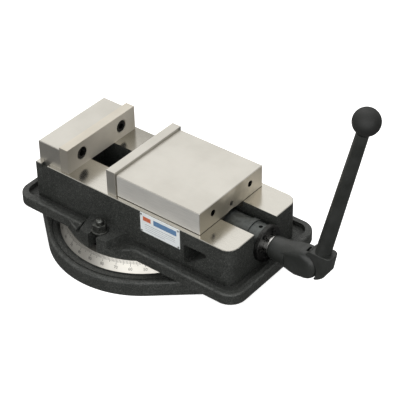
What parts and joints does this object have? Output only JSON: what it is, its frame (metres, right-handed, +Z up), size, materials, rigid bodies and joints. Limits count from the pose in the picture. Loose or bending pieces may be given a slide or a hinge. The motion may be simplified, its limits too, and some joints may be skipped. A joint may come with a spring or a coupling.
{
  "type": "machine vise",
  "caption": "Precision milling machine vise with hardened jaw plates on a graduated swivel base, closed by a lead screw with a folding crank handle.",
  "frame": {"origin": "centre of the swivel axis on the underside of the base, where the vise stands on its table", "axes": "+X along the lead screw towards the crank handle, +Z up, +Y to the far side from the name plate"},
  "size_m": [0.5977, 0.2998, 0.376],
  "materials": {
    "bed_casting": "satin painted casting",
    "base_casting": "satin painted casting with a bright machined scale ring",
    "ground_steel": "ground",
    "plate_steel": "hardened and ground",
    "black_steel": "black oxide",
    "zinc_steel": "dull zinc",
    "tube_steel": "turned",
    "screw_steel": "machined",
    "bearing_steel": "polished",
    "bronze": "machined",
    "handle_paint": "satin painted",
    "ball_plastic": "gloss",
    "label_face": "printed",
    "rivet_metal": "satin"
  },
  "bodies": {
    "base": {"swivel_base": "base_casting", "pivot_pin": "bearing_steel"},
    "vise_body": {"bed": "bed_casting", "clamp_tee_bolts": "zinc_steel", "clamp_washers": "zinc_steel", "fixed_jaw": "ground_steel", "fixed_jaw_key": "zinc_steel", "fixed_jaw_bolts": "black_steel", "fixed_jaw_plate": "plate_steel", "fixed_plate_screws": "black_steel", "bearing_housing": "tube_steel", "screw_bush": "bronze", "housing_cap": "black_steel", "cap_screws": "zinc_steel", "thrust_race_fixed": "bearing_steel", "bearing_spacer": "tube_steel", "name_plate": "label_face", "plate_rivets": "rivet_metal"},
    "movable_jaw_body": {"movable_jaw": "ground_steel", "movable_jaw_plate": "plate_steel", "movable_plate_screws": "black_steel", "jaw_retaining_screw": "black_steel", "seat_half_ball": "bearing_steel", "screw_nut": "screw_steel"},
    "crank_screw": {"lead_screw": "screw_steel", "thrust_race_turning": "bearing_steel", "screw_collar": "bearing_steel", "collar_set_screw": "black_steel", "handle_hub": "handle_paint", "handle_pin": "black_steel"},
    "ball_ring": {"thrust_cage": "bronze", "thrust_balls": "bearing_steel"},
    "crank_arm": {"handle_arm": "handle_paint", "handle_ball": "ball_plastic"},
    "near_clamp_nut": {"clamp_nut_near": "zinc_steel"},
    "far_clamp_nut": {"clamp_nut_far": "zinc_steel"}
  },
  "joints": [
    {"name": "swivel_turn", "type": "hinge", "parent": "base", "child": "vise_body", "pos_m": [0, 0, 0.042], "axis": [0, 0, 1], "continuous": true},
    {"name": "jaw_slide", "type": "slide", "parent": "vise_body", "child": "movable_jaw_body", "axis": [1, 0, 0], "range_m": [-0.0758, 0.05625]},
    {"name": "screw_turn", "type": "hinge", "parent": "vise_body", "child": "crank_screw", "pos_m": [0.2, 0, 0.089], "axis": [1, 0, 0], "range_deg": [-5460, 4052]},
    {"name": "ball_ring_turn", "type": "hinge", "parent": "vise_body", "child": "ball_ring", "pos_m": [0.1986, 0, 0.089], "axis": [1, 0, 0], "range_deg": [-2730, 2026]},
    {"name": "handle_fold", "type": "hinge", "parent": "crank_screw", "child": "crank_arm", "pos_m": [0.2968, 0, 0.0905], "axis": [0, 1, 0], "range_deg": [0, 75]},
    {"name": "near_nut_turn", "type": "hinge", "parent": "vise_body", "child": "near_clamp_nut", "pos_m": [0, -0.101, 0.0755], "axis": [0, 0, 1], "range_deg": [0, 360]},
    {"name": "far_nut_turn", "type": "hinge", "parent": "vise_body", "child": "far_clamp_nut", "pos_m": [0, 0.101, 0.0755], "axis": [0, 0, 1], "range_deg": [0, 360]}
  ],
  "couplings": [
    {"joint": "screw_turn", "follows": "jaw_slide", "rad_per_m": 1256.6},
    {"joint": "ball_ring_turn", "follows": "jaw_slide", "rad_per_m": 628.32}
  ]
}
